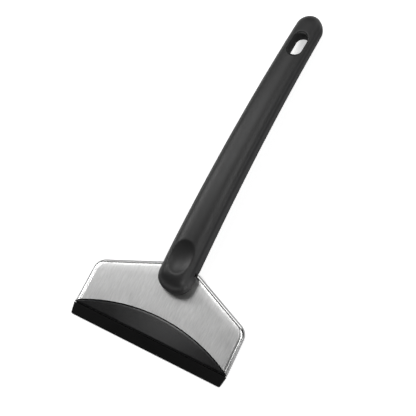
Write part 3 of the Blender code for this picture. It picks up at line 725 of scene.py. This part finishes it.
def screw_tree():
    """A tree that puts a pan-head screw with a cross recess on each point, head down."""
    tree = bpy.data.node_groups.new("pan_head_screw", "GeometryNodeTree")
    face = tree.interface
    face.new_socket("Geometry", in_out="INPUT", socket_type="NodeSocketGeometry")
    face.new_socket("Geometry", in_out="OUTPUT", socket_type="NodeSocketGeometry")
    for name, value in (("Head Diameter", SCREW_HEAD_DIAMETER), ("Head Height", SCREW_HEAD_HEIGHT),
                        ("Shank Diameter", SHANK_DIAMETER), ("Shank Length", SCREW_LENGTH),
                        ("Recess Reach", RECESS_REACH), ("Recess Width", RECESS_WIDTH),
                        ("Recess Depth", RECESS_DEPTH)):
        socket = face.new_socket(name, in_out="INPUT", socket_type="NodeSocketFloat")
        socket.default_value = value
    face.new_socket("Material", in_out="INPUT", socket_type="NodeSocketMaterial")
    nodes, links = tree.nodes, tree.links
    given = nodes.new("NodeGroupInput").outputs
    out = nodes.new("NodeGroupOutput")

    def put(kind, **inputs):
        node = nodes.new(kind)
        for name, value in inputs.items():
            feed(tree, node.inputs[name], value)
        return node

    def vector(x, y, z):
        return put("ShaderNodeCombineXYZ", X=x, Y=y, Z=z).outputs[0]

    def times(value, factor):
        return maths(tree, "MULTIPLY", value, factor)

    def moved_up(mesh, height):
        place = vector(0.0, 0.0, height)
        return put("GeometryNodeTransform", Geometry=mesh, Translation=place).outputs[0]

    def joined(operation, *meshes):
        node = nodes.new("GeometryNodeMeshBoolean")
        node.operation = operation
        for mesh in meshes:
            links.new(mesh, node.inputs["Mesh 2"])
        return node

    head_diameter, head_height = given["Head Diameter"], given["Head Height"]
    radius = times(head_diameter, 0.5)
    ball = put("GeometryNodeMeshUVSphere", Segments=SCREW_SIDES, Rings=SCREW_RINGS, Radius=1.0)
    dome = put("GeometryNodeTransform", Geometry=ball.outputs["Mesh"],
               Scale=vector(radius, radius, head_height))
    wide = times(head_diameter, 2.0)
    block = put("GeometryNodeMeshCube", Size=vector(wide, wide, head_height))
    lower = moved_up(block.outputs["Mesh"], times(head_height, -0.5))
    head = joined("INTERSECT", dome.outputs[0], lower)

    shank = put("GeometryNodeMeshCylinder", Vertices=SCREW_SIDES,
                Radius=times(given["Shank Diameter"], 0.5), Depth=given["Shank Length"])
    raised = moved_up(shank.outputs["Mesh"], times(given["Shank Length"], SHANK_RAISE))
    whole = joined("UNION", head.outputs["Mesh"], raised)

    reach, width = given["Recess Reach"], given["Recess Width"]
    deep = times(given["Recess Depth"], 2.0)
    arms = []
    for x, y in ((reach, width), (width, reach)):
        arm = put("GeometryNodeMeshCube", Size=vector(x, y, deep))
        arms.append(moved_up(arm.outputs["Mesh"], times(head_height, -1.0)))
    recess = joined("DIFFERENCE", *arms)
    links.new(whole.outputs["Mesh"], recess.inputs["Mesh 1"])

    spread = put("GeometryNodeInstanceOnPoints", Points=given["Geometry"],
                 Instance=recess.outputs["Mesh"])
    real = put("GeometryNodeRealizeInstances", Geometry=spread.outputs[0])
    painted = put("GeometryNodeSetMaterial", Geometry=real.outputs[0], Material=given["Material"])
    links.new(painted.outputs[0], out.inputs[0])
    return tree


def make_screws(material):
    """One screw on each seat, its head towards the back."""
    tree = screw_tree()
    for name, x, y, seat in screw_places():
        point = bpy.data.meshes.new("seat")
        point.from_pydata([(x, y, seat - GAP)], [], [])
        obj = new_object("seat", point)
        modifier = obj.modifiers.new("screw", "NODES")
        modifier.node_group = tree
        for item in tree.interface.items_tree:
            if item.item_type == "SOCKET" and item.in_out == "INPUT" and item.name == "Material":
                modifier[item.identifier] = material
        mesh = baked(obj)
        finish_piece("back_" + name, mesh, material, name)
        mesh.set_sharp_from_angle(angle=SCREW_SHARP_ANGLE)


# Finishes

def group_tree(name, inputs, outputs):
    """An empty shader group with named sockets."""
    tree = bpy.data.node_groups.new(name, "ShaderNodeTree")
    face = tree.interface
    face.new_socket("Vector", in_out="INPUT", socket_type="NodeSocketVector")
    for socket_name, value in inputs:
        socket = face.new_socket(socket_name, in_out="INPUT", socket_type="NodeSocketFloat")
        socket.default_value = value
    for socket_name in outputs:
        face.new_socket(socket_name, in_out="OUTPUT", socket_type="NodeSocketFloat")
    return tree, tree.nodes.new("NodeGroupInput").outputs, tree.nodes.new("NodeGroupOutput").inputs


def noise(tree, vector, scale, detail, roughness):
    """A noise texture on a vector, at the scale that a group is given."""
    node = tree.nodes.new("ShaderNodeTexNoise")
    tree.links.new(vector, node.inputs["Vector"])
    tree.links.new(scale, node.inputs["Scale"])
    node.inputs["Detail"].default_value = detail
    node.inputs["Roughness"].default_value = roughness
    return node.outputs["Fac"]


def spread_out(tree, value, low, high, to_low=0.0, to_high=1.0, kind="LINEAR"):
    """Stretch a range of values to another one."""
    node = tree.nodes.new("ShaderNodeMapRange")
    node.interpolation_type = kind
    for name, given in (("Value", value), ("From Min", low), ("From Max", high),
                        ("To Min", to_low), ("To Max", to_high)):
        feed(tree, node.inputs[name], given)
    return node.outputs["Result"]


def soft_step(tree, value, start, end):
    """0 before the start, 1 past the end and a soft change between them."""
    return spread_out(tree, value, start, end, kind="SMOOTHSTEP")


def split_vector(tree, vector):
    """The x, y and z of a vector."""
    node = tree.nodes.new("ShaderNodeSeparateXYZ")
    tree.links.new(vector, node.inputs[0])
    return [node.outputs[axis] for axis in "XYZ"]


def handling_marks():
    """Soft blotches, as hands and cloths leave them: a mask that changes slowly."""
    tree, given, out = group_tree("handling_marks", (("Scale", 60.0),), ("Mask",))
    soft = noise(tree, given["Vector"], given["Scale"], detail=3.0, roughness=0.55)
    tree.links.new(spread_out(tree, soft, low=0.3, high=0.7), out["Mask"])
    return tree


def moulded_grain():
    """The fine spark-eroded grain of moulded plastic, as a height."""
    tree, given, out = group_tree("moulded_grain", (("Scale", 2500.0),), ("Height",))
    grain = noise(tree, given["Vector"], given["Scale"], detail=2.0, roughness=0.6)
    tree.links.new(spread_out(tree, grain, low=0.25, high=0.75), out["Height"])
    return tree


def brushed_lines():
    """Fine lines along Y of the given vector, with slow cloudy changes between them."""
    tree, given, out = group_tree("brushed_lines", (("Scale", 1.0),), ("Shade", "Height"))
    results = []
    for across, along in ((2400.0, 240.0), (900.0, 100.0)):
        mapping = tree.nodes.new("ShaderNodeMapping")
        mapping.inputs["Scale"].default_value = (across, along, across)
        tree.links.new(given["Vector"], mapping.inputs["Vector"])
        results.append(noise(tree, mapping.outputs[0], given["Scale"], detail=3.0, roughness=0.6))
    both = maths(tree, "ADD", *results)
    tree.links.new(spread_out(tree, both, low=0.7, high=1.3), out["Shade"])
    tree.links.new(results[0], out["Height"])
    return tree


def down_the_rim():
    """How far a point lies down the turned rim, below the brushed face: 0 on the face, 1 below."""
    tree, given, out = group_tree("down_the_rim", (("Start", 0.7 * MM), ("End", 1.2 * MM)),
                                  ("Mask",))
    height = split_vector(tree, given["Vector"])[2]
    depth = maths(tree, "MULTIPLY", height, -1.0)
    tree.links.new(soft_step(tree, depth, given["Start"], given["End"]), out["Mask"])
    return tree


def shaded_matt_sides_and_slot():
    """Where the grip gets a painted shade and a matt roughness: 1 on its sides past the nose and in
    the slot.
    """
    tree, given, out = group_tree("shaded_matt_sides_and_slot",
                                  (("Side Start", 9.9 * MM), ("Side End", 11.3 * MM),
                                   ("Nose Start", 47.0 * MM), ("Nose End", 57.0 * MM),
                                   ("Slot Start", 0.1 * MM), ("Slot End", 0.5 * MM)), ("Mask",))
    x, y, _ = split_vector(tree, given["Vector"])
    across = maths(tree, "ABSOLUTE", x)
    narrowing = (GRIP_WIDTH_LOW - GRIP_WIDTH_END) / 2 / (HANDLE_END - HEAD_TOP)
    spread = maths(tree, "MULTIPLY_ADD", y, narrowing, across)
    sides = soft_step(tree, spread, given["Side Start"], given["Side End"])
    past_nose = soft_step(tree, y, given["Nose Start"], given["Nose End"])
    along = maths(tree, "ABSOLUTE", maths(tree, "SUBTRACT", y, SLOT_Y))
    past_straight = maths(tree, "SUBTRACT", along, (SLOT_LENGTH - SLOT_WIDTH) / 2)
    round_along = maths(tree, "MAXIMUM", past_straight, 0.0)
    square = maths(tree, "MULTIPLY_ADD", across, across,
                   maths(tree, "MULTIPLY", round_along, round_along))
    outside = maths(tree, "SUBTRACT", maths(tree, "SQRT", square), SLOT_WIDTH / 2)
    past_slot = soft_step(tree, outside, given["Slot Start"], given["Slot End"])
    in_slot = maths(tree, "SUBTRACT", 1.0, past_slot)
    matt_sides = maths(tree, "MULTIPLY", sides, past_nose)
    tree.links.new(maths(tree, "MAXIMUM", matt_sides, in_slot), out["Mask"])
    return tree


# Linear red, green, blue and alpha: a dark and a light shade where the finish varies
STEEL_SHADES = ((0.568, 0.568, 0.564, 1.0), (0.722, 0.722, 0.718, 1.0))
# A painted shade for the steel's turned rim, standing for the dark reflection along its outer side
STEEL_RIM_PAINTED_SHADE = (0.27, 0.27, 0.27, 1.0)
CHARCOAL_SHADES = ((0.01488, 0.01488, 0.01504, 1.0), (0.01712, 0.01712, 0.01728, 1.0))
# A painted shade for the grip's sides and the wall of its slot, darker than its front
SIDE_PAINTED_SHADE = (0.010, 0.010, 0.0105, 1.0)
SATIN_SHADES = ((0.0026, 0.0026, 0.0028, 1.0), (0.0034, 0.0034, 0.0036, 1.0))
MATT_SHADES = ((0.0015, 0.0015, 0.0015, 1.0), (0.0025, 0.0025, 0.0025, 1.0))
ZINC_SHADES = ((0.42, 0.42, 0.43, 1.0), (0.52, 0.52, 0.53, 1.0))
FLOOR_SHADE = (0.95, 0.95, 0.95, 1.0)
WHITE = (1.0, 1.0, 1.0, 1.0)

# Sockets of a mix node, whose names repeat: its two choices and its result
MIX_SOCKETS = {"FLOAT": (2, 3, 0), "RGBA": (6, 7, 2)}


class Finish:
    """A material in the making: its tree, its shader's sockets and its pattern vector."""

    def __init__(self, name, metallic=0.0, specular=0.5):
        self.material = bpy.data.materials.new(name)
        self.material.use_nodes = True
        self.tree = self.material.node_tree
        self.sockets = self.tree.nodes["Principled BSDF"].inputs
        self.sockets["Metallic"].default_value = metallic
        self.sockets["Specular IOR Level"].default_value = specular
        # Back from the scraper's place at rest to the head's own frame
        place = self.tree.nodes.new("ShaderNodeTexCoord")
        mapping = self.tree.nodes.new("ShaderNodeMapping")
        mapping.inputs["Location"].default_value = TO_ROW.inverted().translation
        mapping.inputs["Rotation"].default_value = (-HEAD_TILT, 0.0, 0.0)
        self.tree.links.new(place.outputs["Object"], mapping.inputs["Vector"])
        self.vector = mapping.outputs[0]

    def group(self, tree, **settings):
        """Place a shared group on the pattern vector."""
        node = self.tree.nodes.new("ShaderNodeGroup")
        node.node_tree = tree
        self.tree.links.new(self.vector, node.inputs["Vector"])
        for name, value in settings.items():
            node.inputs[name.capitalize()].default_value = value
        return node.outputs

    def mix(self, data_type, mask, where_0, where_1):
        """One value or another under a mask, each a value or another node's output."""
        node = self.tree.nodes.new("ShaderNodeMix")
        node.data_type = data_type
        self.tree.links.new(mask, node.inputs[0])
        first, second, result = MIX_SOCKETS[data_type]
        feed(self.tree, node.inputs[first], where_0)
        feed(self.tree, node.inputs[second], where_1)
        return node.outputs[result]

    def shade(self, mask, dark, light):
        """Colour between two shades, each a shade or the result of another mix."""
        result = self.mix("RGBA", mask, dark, light)
        self.tree.links.new(result, self.sockets["Base Color"])
        return result

    def roughness(self, mask, low, high):
        """Roughness between two values."""
        result = spread_out(self.tree, mask, 0.0, 1.0, low, high)
        self.tree.links.new(result, self.sockets["Roughness"])

    def roughness_where(self, mask, value):
        """Another roughness under a mask."""
        elsewhere = self.sockets["Roughness"].links[0].from_socket
        result = self.mix("FLOAT", mask, elsewhere, value)
        self.tree.links.new(result, self.sockets["Roughness"])

    def bump(self, height, distance, strength):
        """Relief from a height."""
        node = self.tree.nodes.new("ShaderNodeBump")
        node.inputs["Distance"].default_value = distance
        node.inputs["Strength"].default_value = strength
        self.tree.links.new(height, node.inputs["Height"])
        self.tree.links.new(node.outputs["Normal"], self.sockets["Normal"])


def make_finishes():
    """The materials of the steel face, the handle, the blade body, the edge and the screws."""
    marks, grain, brushed, rim = handling_marks(), moulded_grain(), brushed_lines(), down_the_rim()

    steel = Finish("brushed_face", metallic=1.0)
    lines = steel.group(brushed)
    face = steel.shade(lines["Shade"], *STEEL_SHADES)
    # Down the turned rim the steel takes a darker colour: a painted shade for the dark line along
    # the rim's outer side
    steel.shade(steel.group(rim)["Mask"], face, STEEL_RIM_PAINTED_SHADE)
    steel.roughness(steel.group(marks, scale=90.0)["Mask"], low=0.35, high=0.4)
    steel.roughness_where(steel.group(rim, start=0.02 * MM, end=0.3 * MM)["Mask"], 0.2)
    steel.bump(lines["Height"], distance=0.012 * MM, strength=0.5)

    charcoal = Finish("charcoal_handle", specular=0.41)
    blotched_front = charcoal.shade(charcoal.group(marks, scale=45.0)["Mask"], *CHARCOAL_SHADES)
    # The grip's sides past the nose and the slot's wall get a painted shade, darker than the front,
    # and a matt roughness
    shaded_matt = charcoal.group(shaded_matt_sides_and_slot())["Mask"]
    charcoal.shade(shaded_matt, blotched_front, SIDE_PAINTED_SHADE)
    charcoal.roughness(charcoal.group(marks, scale=90.0)["Mask"], low=0.4, high=0.47)
    charcoal.roughness_where(shaded_matt, 0.95)
    charcoal.bump(charcoal.group(grain, scale=2200.0)["Height"], distance=0.02 * MM, strength=0.45)

    satin = Finish("satin_blade_body", specular=0.32)
    satin.shade(satin.group(marks, scale=50.0)["Mask"], *SATIN_SHADES)
    satin.roughness(satin.group(marks, scale=80.0)["Mask"], low=0.17, high=0.22)
    satin.bump(satin.group(grain, scale=3000.0)["Height"], distance=0.006 * MM, strength=0.4)

    matt = Finish("matt_scraping_edge", specular=0.15)
    matt.shade(matt.group(marks, scale=70.0)["Mask"], *MATT_SHADES)
    matt.roughness(matt.group(marks, scale=120.0)["Mask"], low=0.55, high=0.68)
    matt.bump(matt.group(grain, scale=2600.0)["Height"], distance=0.01 * MM, strength=0.4)

    zinc = Finish("zinc_screws", metallic=1.0)
    zinc.shade(zinc.group(marks, scale=500.0)["Mask"], *ZINC_SHADES)
    zinc.roughness(zinc.group(marks, scale=700.0)["Mask"], low=0.28, high=0.42)
    return [finish.material for finish in (steel, charcoal, satin, matt, zinc)]


# Studio

FLOOR_SIZE = 6.0
FLOOR_ROUGHNESS = 0.9
FLOOR_GLOW = 0.58
WORLD_GLOW = 0.05
SOFTBOX_DISTANCE = 1.5

# Name, azimuth and elevation in degrees, width in metres and power in watts
SOFTBOXES = (("key_softbox", 122, 60, 0.4, 2.9), ("high_softbox", 140, 69, 0.3, 2.0),
             ("face_softbox", 152, 70, 0.3, 0.5), ("band_softbox", 166, 45, 0.4, 4.2),
             ("left_softbox", 180, 36, 0.3, 3.4), ("left_back_softbox", 135, 20, 0.35, 0.6),
             ("back_softbox", 36, 60, 0.6, 3.4), ("right_softbox", 9, 52, 0.4, 2.2),
             ("low_right_softbox", 5, 16, 0.3, 1.3), ("low_back_softbox", 77, 25, 0.6, 2.7),
             ("front_right_softbox", -30, 30, 0.4, 5.2))

# The camera fitted to the photograph, in the head's frame
CAMERA_TO_EYE = Vector((0.30215273, -0.08941581, 0.94905666))
CAMERA_RIGHT = Vector((0.86246859, 0.44969204, -0.2322176))
CAMERA_UP = Vector((-0.4060193, 0.88869673, 0.212994))
CAMERA_AIM = Vector((0, 0.120, 0))
CAMERA_TO_LEFT = 0.01276
CAMERA_DOWN = 0.01719
CAMERA_DISTANCE = 1.12636
FOCAL_PIXELS = 1761.02
FRAME_PIXELS = 416
SENSOR_WIDTH = 36.0


def make_camera():
    """The photograph's viewpoint."""
    data = bpy.data.cameras.new("camera")
    data.sensor_width = SENSOR_WIDTH
    data.lens = FOCAL_PIXELS * SENSOR_WIDTH / FRAME_PIXELS
    camera = new_object("camera", data)
    axes = Matrix((CAMERA_RIGHT, CAMERA_UP, CAMERA_TO_EYE)).transposed()
    place = (CAMERA_AIM - CAMERA_TO_LEFT * CAMERA_RIGHT - CAMERA_DOWN * CAMERA_UP
             + CAMERA_DISTANCE * CAMERA_TO_EYE)
    camera.matrix_world = TO_ROW @ (Matrix.Translation(place) @ axes.to_4x4())
    bpy.context.scene.camera = camera


def make_softbox(name, azimuth, elevation, size, power):
    """A square soft light that faces the scraper."""
    data = bpy.data.lights.new(name, "AREA")
    data.shape = "SQUARE"
    data.size = size
    data.energy = power
    turn, rise = math.radians(azimuth), math.radians(elevation)
    across = math.cos(rise)
    towards = Vector((across * math.cos(turn), across * math.sin(turn), math.sin(rise)))
    light = new_object(name, data)
    light.location = towards * SOFTBOX_DISTANCE
    light.rotation_mode = "QUATERNION"
    light.rotation_quaternion = towards.to_track_quat("Z", "Y")


def make_floor():
    """A wide pale floor just under the scraper."""
    half = FLOOR_SIZE / 2
    mesh = bpy.data.meshes.new("floor")
    corners = [(-half, -half, 0), (half, -half, 0), (half, half, 0), (-half, half, 0)]
    mesh.from_pydata(corners, [], [(0, 1, 2, 3)])
    floor = new_object("floor", mesh)
    finish = Finish("pale_floor")
    for socket, value in (("Base Color", FLOOR_SHADE), ("Roughness", FLOOR_ROUGHNESS),
                          ("Emission Color", WHITE), ("Emission Strength", FLOOR_GLOW)):
        finish.sockets[socket].default_value = value
    mesh.materials.append(finish.material)


def make_studio():
    """Soft studio light."""
    world = bpy.data.worlds.new("studio")
    world.use_nodes = True
    background = world.node_tree.nodes["Background"]
    background.inputs["Color"].default_value = WHITE
    background.inputs["Strength"].default_value = WORLD_GLOW
    bpy.context.scene.world = world
    bpy.context.scene.view_settings.view_transform = "Standard"
    for softbox in SOFTBOXES:
        make_softbox(*softbox)


steel, charcoal, satin, matt, zinc = make_finishes()
make_steel_face(steel)
make_blade_body(satin)
make_scraping_strip(matt)
make_handle(charcoal)
make_screws(zinc)
make_camera()
make_floor()
make_studio()
